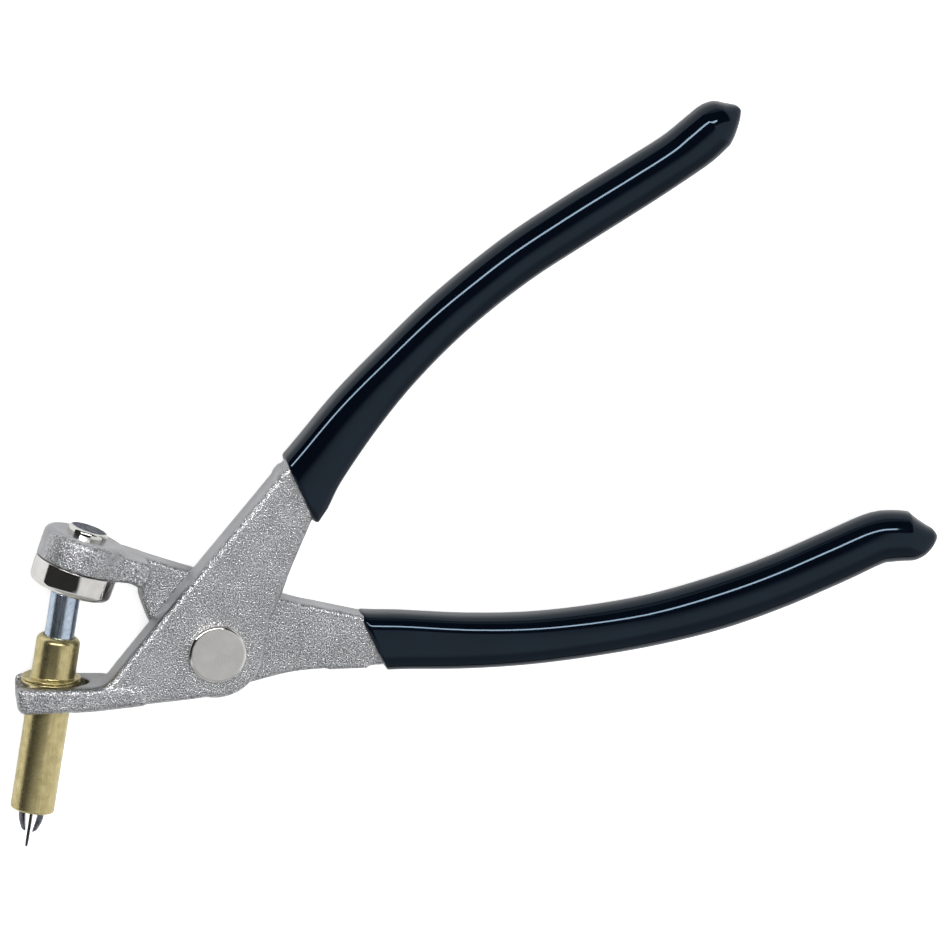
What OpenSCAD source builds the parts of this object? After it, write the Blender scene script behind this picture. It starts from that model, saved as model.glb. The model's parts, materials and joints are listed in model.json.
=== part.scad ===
// Skin-pin pliers holding one spring-loaded skin-pin fastener in the forked jaw.
// The pliers lie on their side: +Z is the hinge axis, +X runs towards the handles.
// The origin is on the hinge axis, on the outer face of the rivet's lower head.

/* [Levers] */
// Thickness of each lever plate
plate_t = 5.75; // [5:0.05:6.5]
// Gap between the two plates at the lap joint
lap_gap = 0.1; // [0.06:0.02:0.2]
// Radius of the round end of each plate at the hinge
hub_r = 8.7; // [8:0.1:9]
// Total thickness of the pusher lever's arm beyond the lap joint
arm_t = 10.9; // [9:0.1:11.4]

/* [Hinge rivet] */
// Shank radius of the hinge rivet
pivot_r = 3.2; // [2.8:0.1:3.8]
// Running clearance of the pusher lever's hole, on the radius
pivot_clearance = 0.05; // [0.02:0.01:0.1]
// Head radius of the hinge rivet
pivot_head_r = 5.3; // [4.8:0.1:5.8]
// Height of the upper head
upper_head_h = 1.5; // [1.2:0.1:1.8]
// Height of the lower head, which the pliers rest on
lower_head_h = 1.95; // [1.9:0.05:2.2]

/* [Forked jaw] */
// Full width of the fork across both tines
fork_w = 12.6; // [11.8:0.1:13.4]
// Width of the slot between the tines
slot_w = 8.4; // [8.2:0.1:8.8]
// How far the slot's round end reaches, from the hinge axis
slot_end_x = -22.4; // [-23:0.1:-21.8]
// Downward slope of the fork's seat towards the hinge, in degrees
seat_slope = 2.7; // [2.2:0.1:3.2]

/* [Pusher jaw] */
// Tilt of the pusher disc's axis from +Y, in degrees
disc_tilt = 19; // [18.6:0.1:19.4]
// Radius of the pusher disc and of the boss above it
disc_r = 7.6; // [7.2:0.1:7.6]
// Height of the pusher disc
disc_h = 4.6; // [4:0.1:5]
// Height of the boss
boss_h = 5.8; // [5.4:0.1:6.2]
// Shank radius of the disc's rivet
disc_rivet_r = 2.2; // [1.8:0.1:2.6]
// Head radius of the disc's rivet
disc_rivet_head_r = 3.7; // [3.3:0.1:4]
// Head height of the disc's rivet
disc_rivet_head_h = 1.35; // [1:0.05:1.6]

/* [Grips] */
// Thickness of the vinyl over the steel
grip_coat = 1.3; // [1:0.05:1.45]
// Sides of the grips' swept outline
grip_sides = 20; // [16:4:28]

/* [Fastener] */
// Outer radius of the barrel
barrel_r = 3.97; // [3.9:0.01:4.02]
// Length of the barrel
barrel_h = 32.6; // [31.6:0.1:33.4]
// Wall thickness of the barrel
barrel_wall = 0.5; // [0.45:0.05:0.55]
// Radius of the barrel's folded flange
flange_r = 5.3; // [5:0.05:5.4]
// Tilt of the fastener's axis from +Y, in degrees
pin_tilt = 9.1; // [8.8:0.1:9.4]
// Turn of the spreader bar and the legs about the fastener's axis, in degrees
pin_turn = 12.5; // [0:0.5:20]
// Radius of the plunger
plunger_r = 2.7; // [2.6:0.02:2.7]
// Length of plunger outside the barrel
plunger_out = 8.25; // [8.05:0.05:8.3]
// How far the hooked legs stand out of the barrel
leg_out = 4; // [3.8:0.1:4.4]
// How far the spreader bar stands out of the barrel
spreader_out = 7; // [6.8:0.1:7.2]

/* [Hidden] */

steel = [0.74, 0.74, 0.74];
polished = [0.82, 0.81, 0.8];
vinyl = [0.05, 0.07, 0.13];
brass = [0.71, 0.64, 0.42];
zinc = [0.5, 0.56, 0.66];
dark_steel = [0.22, 0.23, 0.26];

// Height of the lap joint's middle plane above the face that the pliers rest on
mid_z = plate_t + lower_head_h;

// ---- Seat of the fork: a line falling gently towards the hinge ----
seat_point = [-30.4, -5.36];
function seat_y(x) = seat_point[1] - tan(seat_slope) * (x - seat_point[0]);
slot_centre_x = slot_end_x - slot_w / 2;
near_tip = -36.8;
far_tip = -35.1;

// ---- Pusher disc: distance of its face from the hinge axis, and place along the face ----
disc_face = 2.44;
disc_along = -28.33;
disc_gap = 0.04;
boss_low = disc_face + disc_h + disc_gap;
boss_top = boss_low + boss_h;

// ---- Fastener: its axis crosses the flange's lower face here, and the lip is above it ----
// The flange lies flat on the fork's seat, so it leans against the barrel by the difference in tilt.
flange_x = -29.07;
flange_gap = 0.04;
flange_centre = [flange_x, seat_y(flange_x) + flange_gap];
flange_lean = pin_tilt - seat_slope;
flange_shift = 0.3;
flange_depth = 8.5;
flange_t = 1;
flange_seam = 0.12;
lip_t = 1;
lip_round = 1.1;
nose_round = 0.4;
bore_r = plunger_r + 0.07;
cavity_r = barrel_r - barrel_wall;
collar_r = cavity_r - 0.15;
collar_t = 2;
collar_top = -lip_t - 0.1;
bushing_t = 2.5;
bushing_low = -barrel_h + 0.5;
bushing_bore = 2.4;
spreader_t = 0.5;
spreader_w = 3.2;
leg_root = -5;
leg_inner = 1.1;
leg_tip_inner = 0.6;
leg_neck_r = 1.75;
leg_barb_r = 2.25;
spring_wire = 0.35;
spring_turns = 11;

// ---- Handles: centre points of each grip with the width over the vinyl ----
fork_handle = [[15.6, 29.2, 12.5], [18.8, 33.8, 11], [26, 43.1, 9.9], [33.8, 51.6, 8.9],
    [43.2, 60.5, 8.8], [54.6, 69.3, 9], [65.6, 76.2, 9.2], [76.8, 82.8, 9.1],
    [84.2, 87.3, 8.9], [88.05, 90.05, 9.2], [91.15, 92.7, 8.95]];
pusher_handle = [[22, -1, 12], [28.6, -1.4, 11], [35, -1.6, 10.5], [46.7, -2.4, 9.9],
    [58.4, -2.5, 9.4], [70, -1.7, 9.2], [81.5, -0.2, 9.3], [92.9, 2.3, 9.7],
    [103.9, 5.7, 9.7], [114.7, 9.9, 9.7], [122, 12.9, 9.5], [125.3, 13.35, 9.4],
    [128.4, 13.2, 9]];
handle_steps = 4;

// ---- Tips of the grips: distance past the last centre point, shift to the left, half width ----
fork_tip = [[1.5, 0.13, 4.02], [3.1, 0.14, 3.16], [4.4, -0.3, 1.9], [5.1, -0.45, 1.15],
    [5.5, -0.55, 0.7], [5.7, -0.6, 0.25]];
pusher_tip = [[1.5, -0.5, 3.83], [3.2, -0.62, 2.85], [4.4, -0.3, 1.88], [4.9, -0.12, 1.25],
    [5.25, 0, 0.68], [5.45, 0.1, 0.25]];
tip_power = 0.7;

// ---------------------------------------------------------------- helpers
// Points on an arc about c, from angle a0 to a1 in n steps
function arc(c, r, a0, a1, n) = [for (i = [0:n]) let (a = a0 + (a1 - a0) * i / n) c + r * [cos(a), sin(a)]];

// Smooth curve through all points p, with k steps between neighbours
function blend4(a, b, c, d, t) = 0.5 * (2 * b + (c - a) * t + (2 * a - 5 * b + 4 * c - d) * t * t
    + (3 * b - 3 * c + d - a) * t * t * t);
function at(p, i) = p[max(0, min(len(p) - 1, i))];
function smooth(p, k) = [for (i = [0:len(p) - 2], j = [0:k - 1])
    blend4(at(p, i - 1), p[i], p[i + 1], at(p, i + 2), j / k), p[len(p) - 1]];
function flat(v) = [v[0], v[1]];
function unit(v) = v / norm(v);
function heading(c, i) = unit(flat(at(c, i + 1) - at(c, i - 1)));
function left_of(d) = [-d[1], d[0]];
function wave(a, power) = sign(a) * pow(abs(a), power);

// From a curve's point i to the edge of the steel core, which is the width less the vinyl on both sides
function core_side(c, i) = left_of(heading(c, i)) * (c[i][2] / 2 - grip_coat);

// Steel core of a handle, up to the given number of curve points before its end
module handle_core(points, stop) {
    curve = smooth(points, handle_steps);
    last = len(curve) - 1 - stop;
    polygon(concat(
        [for (i = [0:last]) flat(curve[i]) + core_side(curve, i)],
        [for (i = [last:-1:0]) flat(curve[i]) - core_side(curve, i)]));
}

// Rounded bar along a handle's curve, closed by its tip at the far end
module handle_skin(points, tip) {
    curve = smooth(points, handle_steps);
    last = len(curve) - 1;
    end_dir = heading(curve, last);
    end_r = curve[last][2] / 2;
    half_t = plate_t / 2 + grip_coat;
    // each station: centre, heading, half width, half thickness
    stations = concat(
        [for (i = [0:last]) [flat(curve[i]), heading(curve, i), curve[i][2] / 2, half_t]],
        [for (row = tip) [flat(curve[last]) + end_dir * row[0] + left_of(end_dir) * row[1], end_dir,
            row[2], half_t * pow(row[2] / end_r, tip_power)]]);
    rows = len(stations);
    n = grip_sides;
    pts = [for (s = stations, k = [0:n - 1]) let (
        a = 360 * k / n,
        across = left_of(s[1]) * s[2] * wave(cos(a), 0.85),
        up = s[3] * wave(sin(a), 0.85))
        [s[0][0] + across[0], s[0][1] + across[1], up]];
    sides = [for (r = [0:rows - 2], k = [0:n - 1], half = [0:1]) let (
        m = (k + 1) % n,
        low = r * n,
        high = low + n)
        half == 0 ? [low + k, low + m, high + m] : [low + k, high + m, high + k]];
    polyhedron(pts, concat(sides,
        [[for (k = [n - 1:-1:0]) k]], [[for (k = [0:n - 1]) (rows - 1) * n + k]]), convexity = 4);
}

// Half-space that trims a grip's front end along the line through a point
module front_trim(point, angle) {
    translate([point[0], point[1], 0]) rotate([0, 0, angle]) translate([-40, -20, -20]) cube([40, 40, 40]);
}

// Places its children in the fastener's frame: +Z is the axis, Z = 0 is the top of the lip
module on_fastener() {
    tilt_dir = [sin(pin_tilt), cos(pin_tilt)];
    lip = flange_centre + flange_depth * tilt_dir;
    translate([lip[0], lip[1], mid_z]) rotate([0, 0, -pin_tilt]) rotate([-90, 0, 0]) children();
}

// Turns its children about the fastener's axis
module turned() {
    rotate([0, 0, -pin_turn]) children();
}

// Places its children on the pusher jaw: +Z is the disc's axis, Z = 0 passes through the hinge axis
module on_disc() {
    translate([0, 0, mid_z]) rotate([0, 0, -disc_tilt]) translate([disc_along, 0, 0]) rotate([-90, 0, 0])
        children();
}

// ---------------------------------------------------------------- pliers
module fork_side_outline() {
    brow = 0.4;
    chin = 1.8;
    lean = 0.5;
    polygon(concat(
        arc([near_tip + brow, seat_y(near_tip) - brow], brow, 180, 90, 4),
        [[-13, seat_y(-13)], [-13, -9.3], [-21.3, -9.85], [-27, -9.95]],
        arc([near_tip + lean + chin, -8.15], chin, 268, 185, 5)));
}

module fork_plan_outline() {
    h = fork_w / 2;
    corner = 1.7;
    polygon(concat(
        arc([near_tip + corner, h - corner], corner, 90, 180, 5),
        arc([far_tip + corner, corner - h], corner, 180, 270, 5),
        [[-19.5, -h], [-16, -h * 0.72], [-14.2, -2.2], [-13, -lap_gap / 2]],
        [[-13, plate_t], [-19, plate_t], [-23, h]]));
}

module fork_plate_outline() {
    polygon(concat(
        [[-24, seat_y(-24)], [-24, -9.85], [-21.3, -9.85], [-12, -9.25], [-4.5, -8.75]],
        arc([0, 0], hub_r, 258, 342, 12),
        [[10.1, 6.5], [11.9, 9.9], [13.8, 14.9], [17.6, 23.7], [19.2, 27.5]],
        [[12.2, 32.9], [-3.3, 14.6], [-17.3, -2.1]],
        arc([-22.6, -0.6], 5.1, 320, 270 - seat_slope, 5)));
}

module fork_lever() {
    color(steel) translate([0, 0, mid_z]) difference() {
        union() {
            translate([0, 0, lap_gap / 2]) linear_extrude(plate_t - lap_gap / 2) union() {
                fork_plate_outline();
                handle_core(fork_handle, 2);
            }
            intersection() {
                translate([0, 0, -fork_w / 2]) linear_extrude(fork_w) fork_side_outline();
                rotate([90, 0, 0]) linear_extrude(40, center = true) fork_plan_outline();
            }
        }
        // slot between the tines, square to the seat, open at the tips
        translate([slot_centre_x, seat_y(slot_centre_x), 0]) rotate([0, 0, -seat_slope]) {
            rotate([-90, 0, 0]) cylinder(h = 20, r = slot_w / 2, center = true, $fn = 64);
            translate([-30, -10, -slot_w / 2]) cube([30, 20, slot_w]);
        }
        cylinder(h = 40, r = pivot_r, center = true, $fn = 64);
    }
}

module pusher_plate_outline() {
    polygon(concat(
        [[-18.2, 18.9], [-15.2, 17.9], [-2.6, 13.3], [14.15, 7.5], [20, 5.9], [28.4, 3.7]],
        [[28.4, -5.9], [21.8, -5.75], [14.6, -6.1], [7.66, -7.55]],
        arc([0, 0], hub_r, 278, 188, 12),
        [[-10.9, 4.1], [-12.7, 9.2]],
        arc([-17.0, 9.1], 4.4, 12, 78, 5),
        [[-18.2, 13.7]]));
}

module pusher_arm_outline() {
    polygon(concat(
        [[-22, 15.2], [-22, 20.4], [-15.2, 17.9], [-11.2, 16.4]],
        [[-11.6, 13.9], [-12.6, 12.9]],
        arc([-17.0, 9.1], 4.4, 60, 78, 3),
        [[-18.2, 13.7]]));
}

module pusher_lever() {
    color(steel) difference() {
        union() {
            translate([0, 0, mid_z - plate_t]) linear_extrude(plate_t - lap_gap / 2) union() {
                pusher_plate_outline();
                handle_core(pusher_handle, 2);
            }
            translate([0, 0, mid_z - plate_t]) linear_extrude(arm_t) pusher_arm_outline();
            on_disc() rotate_extrude($fn = 64) polygon(concat(
                [[0, boss_low], [disc_r, boss_low]],
                arc([disc_r - 1.4, boss_top - 1.4], 1.4, 0, 90, 5),
                [[0, boss_top]]));
        }
        translate([0, 0, mid_z]) cylinder(h = 40, r = pivot_r + pivot_clearance, center = true, $fn = 64);
        on_disc() translate([0, 0, boss_low - 1]) cylinder(h = boss_h + 2, r = disc_rivet_r, $fn = 48);
    }
}

module fork_lever_grip() {
    color(vinyl) difference() {
        translate([0, 0, mid_z + plate_t / 2]) handle_skin(fork_handle, fork_tip);
        translate([0, 0, mid_z + lap_gap / 2]) linear_extrude(plate_t - lap_gap / 2) union() {
            handle_core(fork_handle, 2);
            fork_plate_outline();
        }
        translate([0, 0, mid_z]) front_trim([12.3, 34.6], 24.8);
    }
}

module pusher_lever_grip() {
    color(vinyl) difference() {
        translate([0, 0, mid_z - plate_t / 2]) handle_skin(pusher_handle, pusher_tip);
        translate([0, 0, mid_z - plate_t]) linear_extrude(plate_t - lap_gap / 2) union() {
            handle_core(pusher_handle, 2);
            pusher_plate_outline();
        }
        translate([0, 0, mid_z]) front_trim([27.7, 4.1], 21.2);
    }
}

// Round head: flat face of radius r less its rounded rim, standing on z = 0
module rivet_head(r, h, rim) {
    rotate_extrude($fn = 64)
        polygon(concat([[0, 0], [r, 0]], arc([r - rim, h - rim], rim, 0, 90, 5), [[0, h]]));
}

module pivot_rivet() {
    play = 0.05;
    color(polished) {
        translate([0, 0, lower_head_h - play]) cylinder(h = 2 * plate_t + play, r = pivot_r, $fn = 64);
        translate([0, 0, mid_z + plate_t]) rivet_head(pivot_head_r, upper_head_h, 0.55);
        translate([0, 0, lower_head_h - play]) mirror([0, 0, 1])
            rivet_head(pivot_head_r, lower_head_h - play, 0.55);
    }
}

module pusher_disc() {
    rim = 1.2;
    color(polished) on_disc() difference() {
        translate([0, 0, disc_face]) rotate_extrude($fn = 64) polygon(concat(
            [[0, 0]], arc([disc_r - rim, rim], rim, 270, 360, 6), [[disc_r, disc_h], [0, disc_h]]));
        translate([0, 0, disc_face - 1]) cylinder(h = disc_h + 2, r = disc_rivet_r, $fn = 48);
    }
}

module disc_rivet() {
    recess = 0.1;
    shank_h = boss_top - disc_face - recess;
    color(polished) on_disc() {
        translate([0, 0, disc_face + recess]) cylinder(h = shank_h, r = disc_rivet_r, $fn = 48);
        translate([0, 0, boss_top]) rivet_head(disc_rivet_head_r, disc_rivet_head_h, 0.6);
    }
}

// ---------------------------------------------------------------- fastener
// Folded flange: two layers with a groove between them, standing on z = 0
module flange_ring() {
    edge = flange_t / 2 - flange_seam / 2;
    seam_z = flange_t / 2;
    seam_r = flange_r - 0.45;
    rotate_extrude($fn = 64) polygon(concat(
        [[0, 0]],
        arc([flange_r - edge / 2, edge / 2], edge / 2, -90, 90, 4),
        [[seam_r, seam_z - flange_seam / 2], [seam_r, seam_z + flange_seam / 2]],
        arc([flange_r - edge / 2, flange_t - edge / 2], edge / 2, -90, 90, 4),
        [[0, flange_t]]));
}

module fastener_barrel() {
    color(brass) on_fastener() difference() {
        union() {
            rotate_extrude($fn = 64) polygon(concat(
                [[0, 0]],
                arc([barrel_r - lip_round, -lip_round], lip_round, 90, 0, 6),
                arc([barrel_r - nose_round, nose_round - barrel_h], nose_round, 0, -90, 3),
                [[0, -barrel_h]]));
            translate([0, 0, -flange_depth]) rotate([0, -flange_lean, 0])
                translate([-flange_shift, 0, 0]) flange_ring();
        }
        // bore, rounded at the lip, and the cavity below it
        rotate_extrude($fn = 64) polygon(concat(
            [[0, 1], [bore_r + 0.3, 1]],
            arc([bore_r + 0.3, -0.3], 0.3, 90, 180, 3),
            [[bore_r, -lip_t], [cavity_r, -lip_t], [cavity_r, bushing_low]],
            [[bushing_bore + 0.4, bushing_low], [bushing_bore + 0.4, -barrel_h - 1], [0, -barrel_h - 1]]));
    }
}

module end_bushing() {
    color(zinc) on_fastener() turned() difference() {
        translate([0, 0, bushing_low]) cylinder(h = bushing_t, r = cavity_r, $fn = 64);
        translate([0, 0, bushing_low - 1]) cylinder(h = bushing_t + 2, r = bushing_bore, $fn = 48);
        // side notches that hold the spreader bar's ears
        translate([-spreader_t / 2, -cavity_r - 1, bushing_low + bushing_t / 2])
            cube([spreader_t, 2 * cavity_r + 2, bushing_t]);
    }
}

module spreader_bar() {
    ear_z = bushing_low + bushing_t / 2;
    tip_z = -barrel_h - spreader_out;
    ear_top = ear_z + bushing_t / 2;
    ear_x = cavity_r - 0.1;
    top_z = ear_z + 3.5;
    half_w = spreader_w / 2;
    color(dark_steel) on_fastener() turned() rotate([90, 0, 90]) linear_extrude(spreader_t, center = true)
        polygon(concat(
            [[-ear_x, ear_z], [-ear_x, ear_top], [-half_w, ear_top], [-half_w, top_z]],
            [[half_w, top_z], [half_w, ear_top], [ear_x, ear_top], [ear_x, ear_z], [half_w, ear_z]],
            arc([0, tip_z + half_w], half_w, 0, -180, 10),
            [[-half_w, ear_z]]));
}

module plunger() {
    neck_r = 1.9;
    color(zinc) on_fastener() turned() difference() {
        rotate_extrude($fn = 64) polygon([[0, leg_root], [neck_r, leg_root], [neck_r, collar_top - collar_t],
            [collar_r, collar_top - collar_t], [collar_r, collar_top], [plunger_r, collar_top],
            [plunger_r, plunger_out - 0.3], [plunger_r - 0.3, plunger_out], [0, plunger_out]]);
        // cross slot that the two legs hang in
        translate([-3, -1.1, leg_root - 1]) cube([6, 2.2, 1 + 1.2]);
    }
}

module plunger_spring() {
    low = bushing_low + bushing_t + spring_wire + 0.05;
    high = collar_top - collar_t - spring_wire - 0.05;
    coil_r = cavity_r - spring_wire - 0.25;
    per_turn = 14;
    sides = 6;
    rings = spring_turns * per_turn;
    pitch_angle = atan((high - low) / spring_turns / (2 * PI * coil_r));
    pts = [for (i = [0:rings], k = [0:sides - 1]) let (
        a = 360 * i / per_turn,
        b = 360 * k / sides,
        out = coil_r + spring_wire * cos(b),
        lift = spring_wire * sin(b) / cos(pitch_angle))
        [out * cos(a), out * sin(a), low + (high - low) * i / rings + lift]];
    walls = [for (i = [0:rings - 1], k = [0:sides - 1]) let (m = (k + 1) % sides)
        [i * sides + k, i * sides + m, (i + 1) * sides + m, (i + 1) * sides + k]];
    color(zinc) on_fastener() polyhedron(pts, concat(walls,
        [[for (k = [sides - 1:-1:0]) k]], [[for (k = [0:sides - 1]) rings * sides + k]]), convexity = 4);
}

// One hooked leg: a thin half-round neck that swells into a barb below the barrel
module hooked_leg(side) {
    barb_top = -barrel_h - 0.05;
    tip = -barrel_h - leg_out;
    color(dark_steel) on_fastener() turned() intersection() {
        rotate_extrude($fn = 48) polygon([[0, leg_root + 0.02], [leg_neck_r, leg_root + 0.02],
            [leg_neck_r, barb_top], [leg_barb_r, barb_top], [leg_barb_r, barb_top - 1.2],
            [leg_barb_r - 0.25, barb_top - 2.2], [1.7, tip + 0.9], [1.4, tip + 0.25], [1.1, tip], [0, tip]]);
        mirror([side < 0 ? 1 : 0, 0, 0]) rotate([90, 0, 0]) linear_extrude(10, center = true) polygon([
            [leg_inner, leg_root + 1], [4, leg_root + 1], [4, tip - 1], [leg_tip_inner, tip - 1],
            [leg_tip_inner, tip + 0.3], [leg_inner, barb_top - 1.2]]);
    }
}

module left_leg() { hooked_leg(-1); }
module right_leg() { hooked_leg(1); }

fork_lever();
pusher_lever();
fork_lever_grip();
pusher_lever_grip();
pivot_rivet();
pusher_disc();
disc_rivet();
fastener_barrel();
end_bushing();
spreader_bar();
plunger();
plunger_spring();
left_leg();
right_leg();
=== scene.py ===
"""Skin-pin pliers holding one spring-loaded skin-pin fastener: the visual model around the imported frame.

Shapes are written in millimetres in the row frame and turned into metres when a mesh is made.
"""
import bpy
import json
import math
import numpy as np
from mathutils import Matrix, Vector


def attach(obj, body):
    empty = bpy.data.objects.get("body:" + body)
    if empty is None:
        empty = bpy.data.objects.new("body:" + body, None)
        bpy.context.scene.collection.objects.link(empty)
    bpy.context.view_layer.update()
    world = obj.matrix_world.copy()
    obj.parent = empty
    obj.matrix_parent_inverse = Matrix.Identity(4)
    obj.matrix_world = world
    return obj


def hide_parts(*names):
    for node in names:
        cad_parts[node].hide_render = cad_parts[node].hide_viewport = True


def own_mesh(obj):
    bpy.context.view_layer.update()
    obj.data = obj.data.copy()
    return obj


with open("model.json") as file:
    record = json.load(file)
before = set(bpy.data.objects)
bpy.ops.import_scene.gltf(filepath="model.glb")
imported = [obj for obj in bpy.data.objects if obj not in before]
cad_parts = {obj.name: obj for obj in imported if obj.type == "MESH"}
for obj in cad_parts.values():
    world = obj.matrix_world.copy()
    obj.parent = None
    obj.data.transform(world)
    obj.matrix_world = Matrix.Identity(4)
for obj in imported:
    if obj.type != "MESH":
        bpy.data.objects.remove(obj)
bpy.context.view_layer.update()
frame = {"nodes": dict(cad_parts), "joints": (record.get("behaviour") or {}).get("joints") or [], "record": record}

MM = 0.001
joints = {j["name"]: j for j in frame["joints"]}
mounts = {m["name"]: m for m in frame["record"]["mounts"]}

# ------------------------------------------------------------------ shared sizes, as in the CAD model
MID_Z = joints["plier_hinge"]["pos_m"][2] / MM     # lap joint's middle plane
PLATE_T = 5.75                                     # thickness of each lever plate
LAP = 0.05                                         # half the gap between the plates
HUB_R = 8.7
COAT = 1.3                                         # vinyl over the steel
PIVOT_R, PIVOT_BORE, PIVOT_HEAD = 3.2, 3.25, 5.3   # hinge rivet's shank, its bore and its heads
SHANK_R, SHANK_BORE = 2.2, 2.25                    # disc rivet's shank and its bore

# fastener frame: u is its axis from nose to plunger, NOSE the centre of the barrel's flat end
press = joints["plunger_press"]["axis"]
U = -np.array(press[:2]) / np.hypot(*press[:2])
NOSE = np.array(mounts["leg_hooks"]["pos_m"][:2]) / MM
BARREL_H = 32.6                                    # from the nose to the top of the lip
LIP = NOSE + BARREL_H * U
LEAN = 9.1                                         # degrees, the way the drawing marks of the fastener run

# turn of the legs and the spreader bar about that axis
TURN = -math.acos(joints["left_leg_pinch"]["axis"][2])

# pusher disc frame: N is the disc's axis, T runs across its face
DISC_TILT = math.radians(19)
N = np.array([math.sin(DISC_TILT), math.cos(DISC_TILT)])
T = np.array([N[1], -N[0]])
DISC_ALONG = -28.33
DISC_FACE, DISC_H, DISC_R = 2.44, 4.6, 7.598
BOSS_LOW, BOSS_TOP = 7.08, 12.88


# ------------------------------------------------------------------ curves in the plane
def spline(points, steps):
    """Smooth curve through all the points, with the given number of steps between neighbours."""
    p = np.asarray(points, float)
    ext = np.vstack([p[0], p, p[-1]])
    out = []
    for i in range(len(p) - 1):
        a, b, c, d = ext[i:i + 4]
        for j in range(steps):
            t = j / steps
            out.append(0.5 * (2 * b + (c - a) * t + (2 * a - 5 * b + 4 * c - d) * t * t
                              + (3 * b - 3 * c + d - a) * t ** 3))
    out.append(p[-1])
    return np.array(out)


def arc(c, r, a0, a1, n):
    """Points on an arc about c, from one angle to another in degrees, in n steps."""
    a = np.radians(np.linspace(a0, a1, n + 1))
    return np.column_stack([c[0] + r * np.cos(a), c[1] + r * np.sin(a)])


class Handle:
    """Centre curve of a handle with the width over its vinyl, read by distance along it."""

    def __init__(self, points):
        curve = spline(points, 12)
        self.xy, self.w = curve[:, :2], curve[:, 2]
        step = np.linalg.norm(np.diff(self.xy, axis=0), axis=1)
        self.s = np.concatenate([[0], np.cumsum(step)])
        tangent = np.gradient(self.xy, self.s, axis=0)
        self.tangent = tangent / np.linalg.norm(tangent, axis=1)[:, None]
        self.length = self.s[-1]

    def at(self, s):
        """Centre, direction, left side and width at a distance, carried straight on past the ends."""
        s = np.asarray(s, float)
        inside = np.clip(s, 0, self.length)
        xy = np.stack([np.interp(inside, self.s, self.xy[:, k]) for k in (0, 1)], -1)
        d = np.stack([np.interp(inside, self.s, self.tangent[:, k]) for k in (0, 1)], -1)
        d = d / np.linalg.norm(d, axis=-1)[..., None]
        xy = xy + d * (s - inside)[..., None]
        left = np.stack([-d[..., 1], d[..., 0]], -1)
        return xy, d, left, np.interp(inside, self.s, self.w)

    def core(self, stop):
        """Outline of the steel inside the vinyl, up to a distance before the end."""
        s = np.linspace(0, self.length - stop, 60)
        xy, _, left, w = self.at(s)
        side = left * (w / 2 - COAT)[:, None]
        return np.vstack([xy + side, (xy - side)[::-1]])


FORK_HANDLE = Handle([
    [15.6, 29.2, 12.5], [18.8, 33.8, 11], [26, 43.1, 9.9], [33.8, 51.6, 8.9],
    [43.2, 60.5, 8.8], [54.6, 69.3, 9], [65.6, 76.2, 9.2], [76.8, 82.8, 9.1],
    [84.2, 87.3, 8.9], [88.05, 90.05, 9.2], [91.15, 92.7, 8.95]])
PUSHER_HANDLE = Handle([
    [22, -1, 12], [28.6, -1.4, 11], [35, -1.6, 10.5], [46.7, -2.4, 9.9],
    [58.4, -2.5, 9.4], [70, -1.7, 9.2], [81.5, -0.2, 9.3], [92.9, 2.3, 9.7],
    [103.9, 5.7, 9.7], [114.7, 9.9, 9.7], [122, 12.9, 9.5], [125.3, 13.35, 9.4],
    [128.4, 13.2, 9]])
# tips of the grips: distance past the last centre point, shift to the left, half width
FORK_TIP = [(1.5, 0.13, 4.02), (3.1, 0.14, 3.16), (4.4, -0.3, 1.9),
            (5.1, -0.45, 1.15), (5.5, -0.55, 0.7), (5.68, -0.6, 0.25)]
PUSHER_TIP = [(1.5, -0.5, 3.83), (3.2, -0.62, 2.85), (4.4, -0.3, 1.88),
              (4.9, -0.12, 1.25), (5.25, 0, 0.68), (5.42, 0.1, 0.25)]


# ------------------------------------------------------------------ distance fields, in millimetres
def polygon_field(x, y, pts):
    """Signed distance to a closed polygon, negative inside."""
    shape = np.broadcast(x, y).shape
    x, y = np.broadcast_to(x, shape), np.broadcast_to(y, shape)
    best = np.full(shape, 1e9)
    inside = np.zeros(shape, bool)
    for (ax, ay), (bx, by) in zip(pts, np.roll(pts, -1, axis=0)):
        ex, ey = bx - ax, by - ay
        size = ex * ex + ey * ey
        if size < 1e-12:
            continue
        wx, wy = x - ax, y - ay
        t = np.clip((wx * ex + wy * ey) / size, 0, 1)
        best = np.minimum(best, (wx - t * ex) ** 2 + (wy - t * ey) ** 2)
        if ey:
            inside ^= ((ay > y) != (by > y)) & (wx < wy * ex / ey)
    d = np.sqrt(best)
    return np.where(inside, -d, d)


def both(a, b, r):
    """Intersection with its edge rounded to radius r."""
    return np.minimum(-r, np.maximum(a, b)) + np.hypot(np.maximum(a + r, 0), np.maximum(b + r, 0))


def either(a, b, r):
    """Union with its inner corner filled to radius r."""
    return -both(-a, -b, r)


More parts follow.
